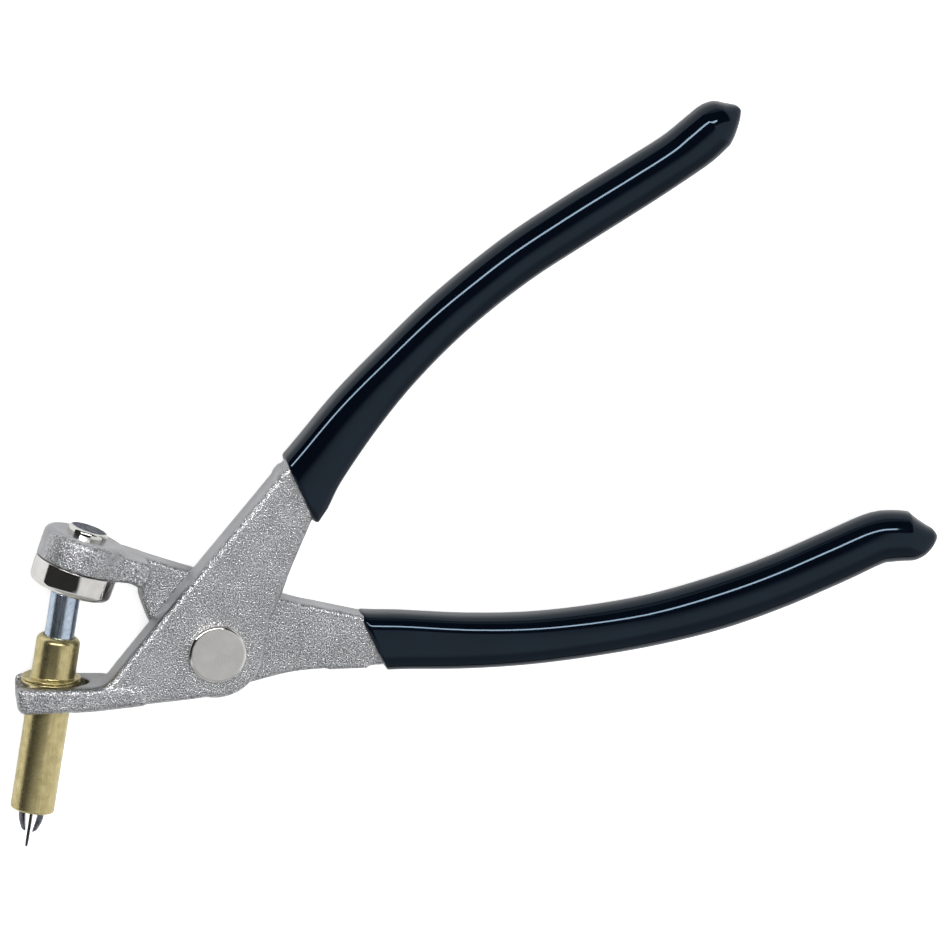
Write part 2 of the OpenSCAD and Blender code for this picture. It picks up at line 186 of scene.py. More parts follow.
def surface(field, low, high, cell):
    """Closed quad mesh of a field's zero surface by surface nets, with its points drawn onto the surface.

    Returns the points, the quads and the field's normals at the points.
    """
    passes, probe, normal_probe, least_slope = 3, 0.02, 0.04, 0.3
    low = np.asarray(low, float)
    count = np.ceil((np.asarray(high) - low) / cell).astype(int) + 1
    gx, gy, gz = (low[k] + cell * np.arange(count[k]) for k in range(3))
    v = field(gx[:, None, None], gy[None, :, None], gz[None, None, :]).astype(np.float32)
    neg = v < 0
    total = np.zeros(tuple(count - 1), np.uint8)
    corners = [(i, j, k) for i in (0, 1) for j in (0, 1) for k in (0, 1)]
    for i, j, k in corners:
        total += neg[i:count[0] - 1 + i, j:count[1] - 1 + j, k:count[2] - 1 + k]
    active = (total > 0) & (total < 8)
    cells = np.argwhere(active)
    index = np.full(active.shape, -1, np.int64)
    index[active] = np.arange(len(cells))
    val = np.stack([v[cells[:, 0] + i, cells[:, 1] + j, cells[:, 2] + k] for i, j, k in corners], 1)
    total_pos = np.zeros((len(cells), 3))
    hits = np.zeros(len(cells))
    for m, a in enumerate(corners):
        for n, b in enumerate(corners):
            if n > m and sum(abs(p - q) for p, q in zip(a, b)) == 1:
                va, vb = val[:, m], val[:, n]
                cross = (va < 0) != (vb < 0)
                t = np.where(cross, va / np.where(cross, va - vb, 1), 0)[:, None]
                pos = np.array(a, float) + t * (np.array(b, float) - np.array(a, float))
                total_pos += np.where(cross[:, None], pos, 0)
                hits += cross
    points = low + cell * (cells + total_pos / hits[:, None])
    quads = []
    for axis in range(3):
        b, c = (axis + 1) % 3, (axis + 2) % 3
        first = [slice(None)] * 3
        second = [slice(None)] * 3
        first[axis], second[axis] = slice(0, -1), slice(1, None)
        change = neg[tuple(first)] != neg[tuple(second)]
        at = np.argwhere(change)
        ok = (at[:, b] > 0) & (at[:, c] > 0) & (at[:, b] < count[b] - 1) & (at[:, c] < count[c] - 1)
        at = at[ok]
        eb, ec = np.eye(3, dtype=int)[b], np.eye(3, dtype=int)[c]
        ring = [index[tuple((at - o).T)] for o in (eb + ec, ec, 0 * eb, eb)]
        quad = np.stack(ring, 1)
        out = neg[tuple(at.T)]
        quads.append(np.where(out[:, None], quad, quad[:, ::-1]))
    quads = np.vstack(quads)

    def value(p):
        """The field at a list of points."""
        return field(p[:, 0], p[:, 1], p[:, 2])

    def slope(p, h):
        """The field's gradient at a list of points, by central differences of step h."""
        return np.stack([(value(p + h * e) - value(p - h * e)) / (2 * h) for e in np.eye(3)], 1)

    for _ in range(passes):
        d = value(points)
        g = slope(points, probe)
        move = g * (d / np.maximum((g ** 2).sum(1), least_slope))[:, None]
        points -= np.clip(move, -0.5 * cell, 0.5 * cell)
    g = slope(points, normal_probe)
    return points, quads, g / np.maximum(np.linalg.norm(g, axis=1), 1e-6)[:, None]


# ------------------------------------------------------------------ meshes
def mesh_object(name, points, faces, material, body, node, sharp=None, normals=None, rim=None):
    """One piece from points in millimetres, which rides on a body and stands for a CAD node.
    rim is a second material with the direction of the flat faces that keep the first one."""
    mesh = bpy.data.meshes.new(name)
    mesh.from_pydata([tuple(p) for p in np.asarray(points, float) * MM], [],
                     [tuple(int(i) for i in f) for f in faces])
    mesh.validate()
    mesh.update()
    mesh.shade_smooth()
    if sharp is not None:
        mesh.set_sharp_from_angle(angle=math.radians(sharp))
    if normals is not None:
        mesh.normals_split_custom_set_from_vertices([tuple(n) for n in normals])
    mesh.materials.append(material)
    if rim is not None:
        mesh.materials.append(rim[0])
        axis = Vector(rim[1])
        for f in mesh.polygons:
            f.material_index = 0 if abs(f.normal.dot(axis)) > 0.995 else 1
    obj = bpy.data.objects.new(name, mesh)
    bpy.context.scene.collection.objects.link(obj)
    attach(obj, body)
    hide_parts(node)
    return obj


def loft(rings, close_start=True, close_end=True):
    """Quads between rings of equal length, each end closed to its middle point."""
    rings = [np.asarray(r, float) for r in rings]
    n = len(rings[0])
    points = np.vstack(rings)
    faces = []
    for r in range(len(rings) - 1):
        for k in range(n):
            m = (k + 1) % n
            faces.append((r * n + k, r * n + m, (r + 1) * n + m, (r + 1) * n + k))
    extra = []
    if close_start:
        extra.append(rings[0].mean(0))
        c = len(points)
        faces += [(c, (k + 1) % n, k) for k in range(n)]
    if close_end:
        extra.append(rings[-1].mean(0))
        c = len(points) + len(extra) - 1
        base = (len(rings) - 1) * n
        faces += [(c, base + k, base + (k + 1) % n) for k in range(n)]
    return np.vstack([points] + [e[None] for e in extra]), faces


def on_axis(origin, axis):
    """Function from local coordinates (x across in the plane, y out of the plane, h along the axis)
    to the row frame."""
    across = np.array([axis[1], -axis[0]])

    def place(x, y, h):
        """Local coordinates in the row frame."""
        x, y, h = np.broadcast_arrays(x, y, h)
        return np.stack([origin[0] + x * across[0] + h * axis[0],
                         origin[1] + x * across[1] + h * axis[1], MID_Z + y], -1)
    return place


on_pin = on_axis(LIP, U)                       # h = 0 is the top of the barrel's lip
on_disc = on_axis(DISC_ALONG * T, N)           # h = 0 passes through the hinge axis


def lathe(profile, place, sides=128):
    """Turned solid or ring: the profile's (radius, height) points, closed on themselves or on the axis."""
    profile = np.asarray(profile, float)
    a = 2 * np.pi * np.arange(sides) / sides
    rings = [place(r * np.cos(a), r * np.sin(a), h) for r, h in profile if r > 1e-6]
    solid = profile[0][0] < 1e-6
    if solid:
        points, faces = loft(rings)
    else:
        points, faces = loft(rings + [rings[0]], False, False)
        last = len(rings) * sides
        faces = [tuple(i - last if i >= last else i for i in f) for f in faces]
        points = points[:last]
    return outward(points, faces)


def outward(points, faces):
    """Turn all faces over if the closed mesh has a negative volume."""
    vol = 0.0
    for f in faces:
        p = points[list(f)]
        for k in range(1, len(f) - 1):
            vol += np.dot(p[0], np.cross(p[k], p[k + 1]))
    return points, ([f[::-1] for f in faces] if vol < 0 else faces)


def corner(c, r, a0, a1, n=6):
    """Profile points round a corner."""
    return [tuple(p) for p in arc(c, r, a0, a1, n)]


# ------------------------------------------------------------------ materials
class Nodes:
    """A material's node tree with short calls."""

    def __init__(self, name):
        self.material = bpy.data.materials.new(name)
        self.material.use_nodes = True
        self.tree = self.material.node_tree
        self.tree.nodes.clear()
        self.out = self.tree.nodes.new("ShaderNodeOutputMaterial")
        self.shader = self.tree.nodes.new("ShaderNodeBsdfPrincipled")
        self.link(self.shader.outputs[0], self.out.inputs["Surface"])
        texture = self.tree.nodes.new("ShaderNodeTexCoord")
        self.coords, self.facing = texture.outputs["Object"], texture.outputs["Normal"]

    def link(self, a, b):
        """Join an output to an input."""
        self.tree.links.new(a, b)

    def stretched(self, turn, size):
        """Coordinates in units of size (x, y, z, in mm), with the Y axis turned clockwise in the plane."""
        m = self.tree.nodes.new("ShaderNodeMapping")
        m.vector_type = "TEXTURE"
        m.inputs["Rotation"].default_value = (0, 0, -math.radians(turn))
        m.inputs["Scale"].default_value = tuple(s * MM for s in size)
        self.link(self.coords, m.inputs["Vector"])
        return m.outputs[0]

    def noise(self, size=None, detail=2.0, rough=0.5, vector=None):
        """Noise with features of a size in mm, or of one unit of the given coordinates."""
        n = self.tree.nodes.new("ShaderNodeTexNoise")
        n.inputs["Scale"].default_value = 1 / (size * MM) if size else 1.0
        n.inputs["Detail"].default_value = detail
        n.inputs["Roughness"].default_value = rough
        self.link(vector if vector is not None else self.coords, n.inputs["Vector"])
        return n.outputs["Fac"]

    def cells(self, size):
        """Smooth round cells of a size in mm."""
        v = self.tree.nodes.new("ShaderNodeTexVoronoi")
        v.feature = "SMOOTH_F1"
        v.inputs["Scale"].default_value = 1 / (size * MM)
        self.link(self.coords, v.inputs["Vector"])
        return v.outputs["Distance"]

    def math(self, op, a, b=None):
        """A math node on numbers or outputs."""
        n = self.tree.nodes.new("ShaderNodeMath")
        n.operation = op
        for socket, x in zip(n.inputs, (a, b)):
            if x is None:
                continue
            if isinstance(x, (int, float)):
                socket.default_value = x
            else:
                self.link(x, socket)
        return n.outputs[0]

    def flatness(self, low, high):
        """1 on faces that look along Z, 0 on the side faces."""
        n = self.tree.nodes.new("ShaderNodeSeparateXYZ")
        self.link(self.facing, n.inputs[0])
        m = self.tree.nodes.new("ShaderNodeMapRange")
        m.interpolation_type = "SMOOTHSTEP"
        self.link(self.math("ABSOLUTE", n.outputs["Z"]), m.inputs["Value"])
        m.inputs["From Min"].default_value, m.inputs["From Max"].default_value = low, high
        return m.outputs["Result"]

    def remap(self, value, a, b, c, d):
        """A value's range from a to b taken to the range from c to d."""
        n = self.tree.nodes.new("ShaderNodeMapRange")
        self.link(value, n.inputs["Value"])
        for name, x in (("From Min", a), ("From Max", b), ("To Min", c), ("To Max", d)):
            n.inputs[name].default_value = x
        return n.outputs["Result"]

    def ramp(self, value, stops):
        """Colour by value through (position, colour) stops."""
        n = self.tree.nodes.new("ShaderNodeValToRGB")
        e = n.color_ramp.elements
        while len(e) < len(stops):
            e.new(0.5)
        for el, (at, colour) in zip(e, stops):
            el.position = at
            el.color = (*colour, 1)
        self.link(value, n.inputs["Fac"])
        return n.outputs["Color"]

    def bump(self, height, distance, strength=1.0):
        """Normal from a height, with the bump's depth in mm."""
        n = self.tree.nodes.new("ShaderNodeBump")
        n.inputs["Distance"].default_value = distance * MM
        n.inputs["Strength"].default_value = strength
        self.link(height, n.inputs["Height"])
        return n.outputs["Normal"]

    def set(self, **values):
        """Shader inputs from numbers, colours or outputs; returns the material."""
        for key, x in values.items():
            socket = self.shader.inputs[key.replace("_", " ")]
            if isinstance(x, (int, float)):
                socket.default_value = x
            elif isinstance(x, tuple):
                socket.default_value = (*x, 1)
            else:
                self.link(x, socket)
        return self.material


def forged_steel():
    """Nickel-plated forging: grain-blasted faces that look along Z, satin sides whose colour is darkened a little
    as painted shade.
    """
    m = Nodes("forged_steel")
    rough = m.flatness(0.22, 0.6)
    noise = m.noise(0.24, 2.0, 0.5)
    # on the side faces the grain fades to a satin surface
    grain = m.math("ADD", 0.5, m.math("MULTIPLY", m.math("SUBTRACT", noise, 0.5),
                                      m.math("ADD", m.math("MULTIPLY", rough, 0.9), 0.1)))
    pits = m.math("MULTIPLY", m.cells(0.36), rough)
    height = m.math("ADD", grain, m.math("MULTIPLY", pits, 0.4))
    broad = m.noise(6.0, 2.0)
    tone = m.math("ADD", m.math("MULTIPLY", grain, 0.9), m.math("MULTIPLY", broad, 0.1))
    # painted shade: the side faces' colour is lowered a little against the faces that look along Z
    tone = m.math("ADD", tone, m.math("MULTIPLY", m.math("SUBTRACT", 1.0, rough), -0.04))
    tint = m.ramp(tone, [(0.37, (0.17, 0.175, 0.188)), (0.5, (0.47, 0.475, 0.49)),
                         (0.63, (0.80, 0.805, 0.82))])
    return m.set(Base_Color=tint, Metallic=1.0, Roughness=m.remap(grain, 0.35, 0.65, 0.34, 0.24),
                 Normal=m.bump(height, 0.13, 1.0))


def polished_nickel():
    """Bright nickel with fine scratches and faint clouds."""
    m = Nodes("polished_nickel")
    scratch = m.noise(vector=m.stretched(19, (1.4, 0.03, 1.4)), detail=3.0)
    cloud = m.noise(2.4, 2.0)
    return m.set(Base_Color=m.ramp(cloud, [(0.3, (0.70, 0.69, 0.66)), (0.7, (0.80, 0.79, 0.76))]),
                 Metallic=1.0, Roughness=m.remap(cloud, 0.3, 0.7, 0.025, 0.05),
                 Normal=m.bump(m.math("ADD", scratch, cloud), 0.004, 0.5))


def satin_rivet():
    """Satin face of the hinge rivet."""
    m = Nodes("satin_rivet")
    fine = m.noise(0.22, 3.0, 0.6)
    cloud = m.noise(2.0, 2.0)
    return m.set(Base_Color=m.ramp(cloud, [(0.3, (0.66, 0.65, 0.63)), (0.7, (0.74, 0.73, 0.71))]),
                 Metallic=1.0, Roughness=m.remap(cloud, 0.3, 0.7, 0.26, 0.34),
                 Normal=m.bump(fine, 0.02, 0.4))


def vinyl_grip():
    """Glossy dipped vinyl, near-black navy, with a slight orange peel."""
    m = Nodes("vinyl_grip")
    peel = m.noise(1.6, 1.0)
    drift = m.noise(9.0, 2.0)
    return m.set(Base_Color=m.ramp(drift, [(0.3, (0.0010, 0.0022, 0.0055)), (0.7, (0.0016, 0.0032, 0.0075))]),
                 Roughness=m.remap(peel, 0.3, 0.7, 0.045, 0.07), IOR=1.43,
                 Specular_Tint=(0.56, 0.78, 1.0),
                 Normal=m.bump(m.math("ADD", peel, drift), 0.01, 0.35))


def satin_brass():
    """Brass-coloured plate with drawing marks along the barrel."""
    m = Nodes("satin_brass")
    drawn = m.noise(vector=m.stretched(LEAN, (0.16, 7.0, 0.16)), detail=4.0, rough=0.65)
    patch = m.noise(1.9, 3.0, 0.6)
    speck = m.noise(0.3, 2.0)
    tone = m.math("ADD", m.math("MULTIPLY", drawn, 0.45), m.math("MULTIPLY", patch, 0.55))
    return m.set(Base_Color=m.ramp(tone, [(0.32, (0.40, 0.34, 0.17)), (0.5, (0.60, 0.515, 0.255)),
                                          (0.68, (0.74, 0.65, 0.37))]),
                 Metallic=1.0, Roughness=m.remap(tone, 0.3, 0.7, 0.33, 0.23),
                 Normal=m.bump(m.math("ADD", drawn, m.math("MULTIPLY", speck, 0.6)), 0.02, 0.6))


def zinc_plate():
    """Bluish zinc plate, mottled."""
    m = Nodes("zinc_plate")
    drawn = m.noise(vector=m.stretched(LEAN, (0.14, 5.0, 0.14)), detail=3.0)
    patch = m.noise(1.6, 2.0)
    mottle = m.noise(0.5, 3.0, 0.6)
    tone = m.math("ADD", m.math("MULTIPLY", patch, 0.5), m.math("MULTIPLY", mottle, 0.5))
    return m.set(Base_Color=m.ramp(tone, [(0.35, (0.42, 0.51, 0.64)), (0.65, (0.66, 0.76, 0.88))]),
                 Metallic=1.0, Roughness=m.remap(drawn, 0.3, 0.7, 0.20, 0.30),
                 Normal=m.bump(m.math("ADD", drawn, mottle), 0.015, 0.6))


def dark_spring_steel():
    """Blued spring steel."""
    m = Nodes("dark_spring_steel")
    blue = m.noise(1.8, 3.0, 0.6)
    drawn = m.noise(vector=m.stretched(LEAN, (0.12, 3.0, 0.12)), detail=3.0)
    return m.set(Base_Color=m.ramp(blue, [(0.35, (0.055, 0.06, 0.085)), (0.52, (0.11, 0.12, 0.15)),
                                          (0.66, (0.16, 0.13, 0.11))]),
                 Metallic=1.0, Roughness=m.remap(drawn, 0.3, 0.7, 0.18, 0.34),
                 Normal=m.bump(drawn, 0.01, 0.6))


def spring_wire():
    """Plain drawn wire."""
    m = Nodes("spring_wire")
    fine = m.noise(0.2, 2.0)
    return m.set(Base_Color=m.ramp(fine, [(0.3, (0.34, 0.35, 0.37)), (0.7, (0.48, 0.49, 0.51))]),
                 Metallic=1.0, Roughness=m.remap(fine, 0.3, 0.7, 0.24, 0.38), Normal=m.bump(fine, 0.01, 0.5))


def scratched_nickel_painted_dark():
    """Scratched top of the disc's rivet, its dark base colour painted shade standing in for a dark reflection on
    that face.
    """
    m = Nodes("scratched_nickel_painted_dark")
    scratch = m.noise(vector=m.stretched(40, (1.2, 0.12, 1.2)), detail=4.0, rough=0.6)
    cloud = m.noise(1.1, 3.0, 0.6)
    tone = m.math("ADD", m.math("MULTIPLY", scratch, 0.5), m.math("MULTIPLY", cloud, 0.5))
    # painted shade: the base colour is kept dark to stand in for a dark reflection on the rivet's top, varied by
    # the scratches and clouds
    return m.set(Base_Color=m.ramp(tone, [(0.35, (0.13, 0.14, 0.16)), (0.5, (0.30, 0.31, 0.33)),
                                          (0.62, (0.60, 0.60, 0.60))]),
                 Metallic=1.0, Roughness=m.remap(cloud, 0.3, 0.7, 0.28, 0.16),
                 Specular_Tint=(0.30, 0.31, 0.34), Normal=m.bump(scratch, 0.03, 0.7))


FORGED, NICKEL, RIVET = forged_steel(), polished_nickel(), satin_rivet()
VINYL, SCRATCHED_PAINTED_DARK = vinyl_grip(), scratched_nickel_painted_dark()
BRASS, ZINC, SPRING_STEEL, WIRE = satin_brass(), zinc_plate(), dark_spring_steel(), spring_wire()

# ------------------------------------------------------------------ fork lever
SEAT = (-30.4, -5.36)                            # a point on the fork's seat
SEAT_SLOPE = math.radians(2.7)
ROOT_X = -13                                     # where the fork's block ends inside the plate
TIP_X, FAR_TIP_X = -36.8, -35.1                  # tips of the near and the far tine
TIP_CORNER = 1.7
FORK_HALF = 6.3                                  # half width over both tines
SLOT_HALF = 4.2
SLOT_X = -22.4 - SLOT_HALF                       # centre of the slot's round end


def seat_y(x):
    """Height of the fork's seat."""
    return SEAT[1] - math.tan(SEAT_SLOPE) * (x - SEAT[0])


# outline of the plate in x and y: jaw, round the hinge, back edge and front edge
fork_plate = np.vstack([
    [(-26, seat_y(-26)), (-26, -9.93)],
    spline([(-23.5, -9.9), (-21.3, -9.85), (-12, -9.25), (-4.5, -8.75), (-1.9, -8.49)], 6),
    arc((0, 0), HUB_R, 260, 340, 30),
    spline([(8.27, -2.69), (9.1, 1.6), (10.1, 6.5), (11.9, 9.9),
            (13.8, 14.9), (17.6, 23.7), (19.2, 27.5)], 8),
    spline([(12.2, 32.9), (-3.3, 14.6), (-17.3, -2.1)], 10),
    arc((-22.6, -0.6), 5.1, 320, 270 - 2.7, 12)])

# the fork's block from the side, in x and y
fork_side = np.vstack([
    arc((TIP_X + 0.4, seat_y(TIP_X) - 0.4), 0.4, 180, 90, 6),
    [(ROOT_X, seat_y(ROOT_X)), (ROOT_X, -9.3)],
    spline([(ROOT_X, -9.3), (-21.3, -9.85), (-27, -9.95)], 4),
    arc((TIP_X + 2.3, -8.15), 1.8, 268, 185, 12)])

# the fork's block seen along the fastener, in x and z from the middle plane
fork_plan = np.vstack([
    arc((TIP_X + TIP_CORNER, FORK_HALF - TIP_CORNER), TIP_CORNER, 90, 180, 12),
    arc((FAR_TIP_X + TIP_CORNER, TIP_CORNER - FORK_HALF), TIP_CORNER, 180, 270, 12),
    spline([(-19.5, -FORK_HALF), (-17.6, -5.6), (-16, -FORK_HALF * 0.72), (-14.2, -2.2), (ROOT_X, -0.05)], 6),
    [(ROOT_X, PLATE_T)],
    spline([(-17.5, PLATE_T), (-19.5, 5.85), (-21.5, 6.15), (-23.5, FORK_HALF)], 6)])
fork_core = FORK_HANDLE.core(3)


def fork_field(x, y, z):
    """Fork lever: plate and handle core, the fork's block with its slot, and the hinge bore."""
    zz = z - MID_Z
    flat = either(polygon_field(x, y, fork_plate), polygon_field(x, y, fork_core), 1.0)
    plate = both(both(flat, zz - PLATE_T, 1.15), LAP - zz, 0.3)
    block = both(polygon_field(x, y, fork_side), polygon_field(x, zz, fork_plan), 0.95)
    d = either(plate, block, 0.8)
    along = (x - SLOT_X) * math.cos(SEAT_SLOPE) - (y - seat_y(SLOT_X)) * math.sin(SEAT_SLOPE)
    slot = np.where(along > 0, np.hypot(along, zz), np.abs(zz)) - SLOT_HALF
    d = both(d, -slot, 0.35)
    return both(d, PIVOT_R - np.hypot(x, y), 0.15)


# ------------------------------------------------------------------ pusher lever
# outline of the plate in x and y: upper edge, lower edge, round the hinge and under the arm
pusher_plate = np.vstack([
    spline([(-18.2, 18.9), (-15.2, 17.9), (-2.6, 13.3), (14.15, 7.5), (20, 5.9), (28.4, 3.7)], 8),
    spline([(28.4, -5.9), (21.8, -5.75), (14.6, -6.1), (7.66, -7.55)], 8),
    arc((0, 0), HUB_R, 296, 190, 36),
    spline([(-8.6, -1.2), (-9.6, 1.4), (-10.9, 4.1), (-12.0, 6.9), (-12.7, 9.2)], 6),
    arc((-17.0, 9.1), 4.4, 6, 78, 14),
    [(-18.2, 13.7)]])
# outline of the thicker arm between the boss and its step
pusher_arm = np.vstack([
    [(-22, 15.2), (-22, 20.4)],
    spline([(-18.6, 19.05), (-15.2, 17.9), (-12.6, 16.95)], 6),
    arc((-12.9, 15.6), 1.35, 60, -30, 8),
    spline([(-11.9, 14.3), (-12.3, 13.4), (-13.4, 12.4)], 5),
    arc((-17.0, 9.1), 4.4, 52, 78, 6),
    [(-18.2, 13.7)]])
pusher_core = PUSHER_HANDLE.core(3)
ARM_TOP = 5.15                                   # the arm's step above the middle plane


def pusher_field(x, y, z):
    """Pusher lever: plate and handle core, the thicker arm, the round boss and both bores."""
    zz = z - MID_Z
    flat = either(polygon_field(x, y, pusher_plate), polygon_field(x, y, pusher_core), 1.0)
    plate = both(both(flat, zz + LAP, 0.8), -PLATE_T - zz, 1.15)
    arm = both(both(polygon_field(x, y, pusher_arm), zz - ARM_TOP, 0.8), -PLATE_T - zz, 1.15)
    t = x * T[0] + y * T[1] - DISC_ALONG
    up = x * N[0] + y * N[1]
    radial = np.hypot(t, zz) - DISC_R
    boss = both(both(radial, up - BOSS_TOP, 1.4), BOSS_LOW - up, 0.45)
    d = either(either(plate, arm, 0.3), boss, 1.1)
    bore = np.minimum(SHANK_BORE - np.hypot(t, zz), up - BOSS_LOW + 1)
    d = np.maximum(d, bore)
    return both(d, PIVOT_BORE - np.hypot(x, y), 0.15)


CELL, QUICK_CELL = 0.27, 0.36
for name, field, low, high, body in (
        ("fork_lever_steel", fork_field, (-37.4, -11.2, 0.4), (92.5, 94.8, 14.4), "fork_body"),
        ("pusher_lever_steel", pusher_field, (-38, -10, -0.8), (128, 25.2, 16.4), "pusher_body")):
    pts, quads, normals = surface(field, low, high, CELL)
    mesh_object(name, pts, quads, FORGED, body, name.replace("_steel", ""), normals=normals)


# ------------------------------------------------------------------ grips
def superellipse(count, power):
    """Unit cross-section: across and up values, squarer as the power rises."""
    a = 2 * np.pi * (np.arange(count) + 0.5) / count
    c, s = np.cos(a), np.sin(a)
    return np.sign(c) * np.abs(c) ** (2 / power), np.sign(s) * np.abs(s) ** (2 / power)


def grip(name, handle, tip, centre_z, front_s, shear, squareness, node, body):
    """Dipped vinyl sleeve: inner wall, rolled front lip along a slanted line, outer skin and its tip."""
    count = 96
    half_t = PLATE_T / 2 + COAT
    trim, play, lip, fade = 0.03, 0.15, 0.55, 7.0
    rings = []

    def ring(s, inset, power, skew):
        """Cross-section at a distance, drawn in by the inset and slanted by the skew."""
        across, up = superellipse(count, power)
        _, _, _, w0 = handle.at(s)
        station = s + skew * across * w0 / 2
        xy, _, left, w = handle.at(station)
        side = across * (w / 2 - inset)
        return np.column_stack([xy + left * side[:, None], centre_z + up * (half_t - inset)])

    def skew_at(s):
        """The front line's slant, which fades along the grip."""
        return shear * math.exp(-((s - front_s) / fade) ** 2)

    for s in np.linspace(handle.length - 4, front_s, 40):
        rings.append(ring(s, COAT + play, 4.0, skew_at(s)))
    for a in np.radians(np.linspace(180, 90, 6)):
        s = front_s + lip + lip * math.cos(a)
        rings.append(ring(s, lip * (1 - math.sin(a)) + trim, squareness(0), skew_at(s)))
    for s in np.linspace(front_s + 0.9, handle.length, 110):
        rings.append(ring(s, trim, squareness((s - front_s) / (handle.length - front_s)), skew_at(s)))
    xy, d, left, w = handle.at(handle.length)
    across, up = superellipse(count, squareness(1))
    for ahead, shift, half_w in spline([(0, 0, w / 2), *tip], 5)[1:]:
        c = xy + d * (ahead - trim) + left * shift
        k = (2 * half_w / w) ** 0.7
        rings.append(np.column_stack([c + left * (across * (half_w - trim))[:, None],
                                      centre_z + up * half_t * k]))
    points, faces = outward(*loft(rings))
    mesh_object(name, points, faces, VINYL, body, node)


grip("fork_grip_vinyl", FORK_HANDLE, FORK_TIP, MID_Z + PLATE_T / 2, -0.3, 0.527,
     lambda t: 3.4 - 1.0 * min(1, t / 0.5), "fork_lever_grip", "fork_body")
grip("pusher_grip_vinyl", PUSHER_HANDLE, PUSHER_TIP, MID_Z - PLATE_T / 2, 7.7, -0.46,
     lambda t: 3.3 - 0.9 * min(1, t / 0.5), "pusher_lever_grip", "pusher_body")


# ------------------------------------------------------------------ rivets and disc
def on_hinge(x, y, z):
    """The hinge axis' own frame, which is the row frame."""
    return np.stack(np.broadcast_arrays(x, y, z), -1)


UPPER_Z, UPPER_H, UPPER_ROUND = MID_Z + PLATE_T, 1.5, 0.6
LOWER_Z, LOWER_ROUND = 1.9, 0.55
pts, faces = lathe(
    [(0, 0)] + corner((PIVOT_HEAD - LOWER_ROUND, LOWER_ROUND), LOWER_ROUND, 270, 360)
    + [(PIVOT_HEAD, LOWER_Z), (PIVOT_R, LOWER_Z), (PIVOT_R, UPPER_Z), (PIVOT_HEAD, UPPER_Z)]
    + corner((PIVOT_HEAD - UPPER_ROUND, UPPER_Z + UPPER_H - UPPER_ROUND), UPPER_ROUND, 0, 90, 8)
    + [(PIVOT_HEAD - 0.75, UPPER_Z + UPPER_H), (0, UPPER_Z + UPPER_H)],
    on_hinge)
mesh_object("pivot_rivet_turned", pts, faces, RIVET, "fork_body", "pivot_rivet", sharp=32,
            rim=(NICKEL, (0, 0, 1)))

rim, break_r = 1.2, 0.15
pts, faces = lathe(
    [(SHANK_R, DISC_FACE)] + corner((DISC_R - rim, DISC_FACE + rim), rim, 270, 360, 10)
    + corner((DISC_R - break_r, DISC_FACE + DISC_H - break_r), break_r, 0, 90, 3)
    + [(SHANK_R, DISC_FACE + DISC_H)], on_disc)
mesh_object("pusher_disc_turned", pts, faces, NICKEL, "pusher_body", "pusher_disc",
            sharp=32)

head_r, head_h, head_round = 3.7, 1.35, 0.6
pts, faces = lathe(
    [(0, DISC_FACE + 0.1), (2.05, DISC_FACE + 0.1), (SHANK_R, DISC_FACE + 0.25), (SHANK_R, BOSS_TOP),
     (head_r, BOSS_TOP)]
    + corner((head_r - head_round, BOSS_TOP + head_h - head_round), head_round, 0, 80, 8)
    + [(0, BOSS_TOP + head_h)], on_disc)
# the flat top has the scratched nickel whose darkness is painted shade; the rim is polished nickel
mesh_object("disc_rivet_turned", pts, faces, SCRATCHED_PAINTED_DARK, "pusher_body", "disc_rivet", sharp=32,
            rim=(NICKEL, (N[0], N[1], 0)))

# ------------------------------------------------------------------ fastener
BARREL_R, WALL, FLANGE_R, LIP_ROUND = 3.97, 0.5, 5.3, 1.1
FLANGE_LOW, FLANGE_T, FLANGE_SHIFT = -8.5, 1.0, 0.3
FLANGE_LEAN = math.atan2(U[0], U[1]) - SEAT_SLOPE


def on_barrel(x, y, h):
    """The fastener's frame, with the flange leaning so that it lies flat on the fork."""
    if not FLANGE_LOW <= h <= FLANGE_LOW + FLANGE_T + 0.4:
        return on_pin(x, y, h)
    out = np.clip((np.hypot(x, y) - BARREL_R) / (FLANGE_R - BARREL_R), 0, 1)
    return on_pin(x - FLANGE_SHIFT * out, y, h + math.tan(FLANGE_LEAN) * x)


def on_turned(x, y, h):
    """The fastener's frame, turned about its axis as the legs and the spreader bar are."""
    c, s = math.cos(TURN), math.sin(-TURN)
    return on_pin(x * c - y * s, x * s + y * c, h)


TOP = FLANGE_LOW + FLANGE_T
SEAM = FLANGE_LOW + FLANGE_T / 2                 # groove where the folded layers of the flange meet
edge, groove, root, nose = 0.22, 0.06, 0.3, 0.4
pts, faces = lathe(
    [(2.77, -0.1), (2.8, -0.03)] + corner((BARREL_R - LIP_ROUND, -LIP_ROUND), LIP_ROUND, 90, 0, 10)
    + corner((BARREL_R + root, TOP + root), root, 180, 270, 4)
    + corner((FLANGE_R - edge, TOP - edge), edge, 90, -90, 8)
    + [(FLANGE_R - 0.5, SEAM + groove), (FLANGE_R - 0.5, SEAM - groove)]
    + corner((FLANGE_R - edge, SEAM - groove - edge), edge, 90, -90, 8)
    + [(BARREL_R, FLANGE_LOW)] + corner((BARREL_R - nose, nose - BARREL_H), nose, 0, -90, 6)
    + [(2.8, -BARREL_H), (2.8, 0.5 - BARREL_H), (BARREL_R - WALL, 0.5 - BARREL_H),
       (BARREL_R - WALL, -1), (2.77, -1)],
    on_barrel)
mesh_object("barrel_shell", pts, faces, BRASS, "barrel_body", "fastener_barrel", sharp=35)

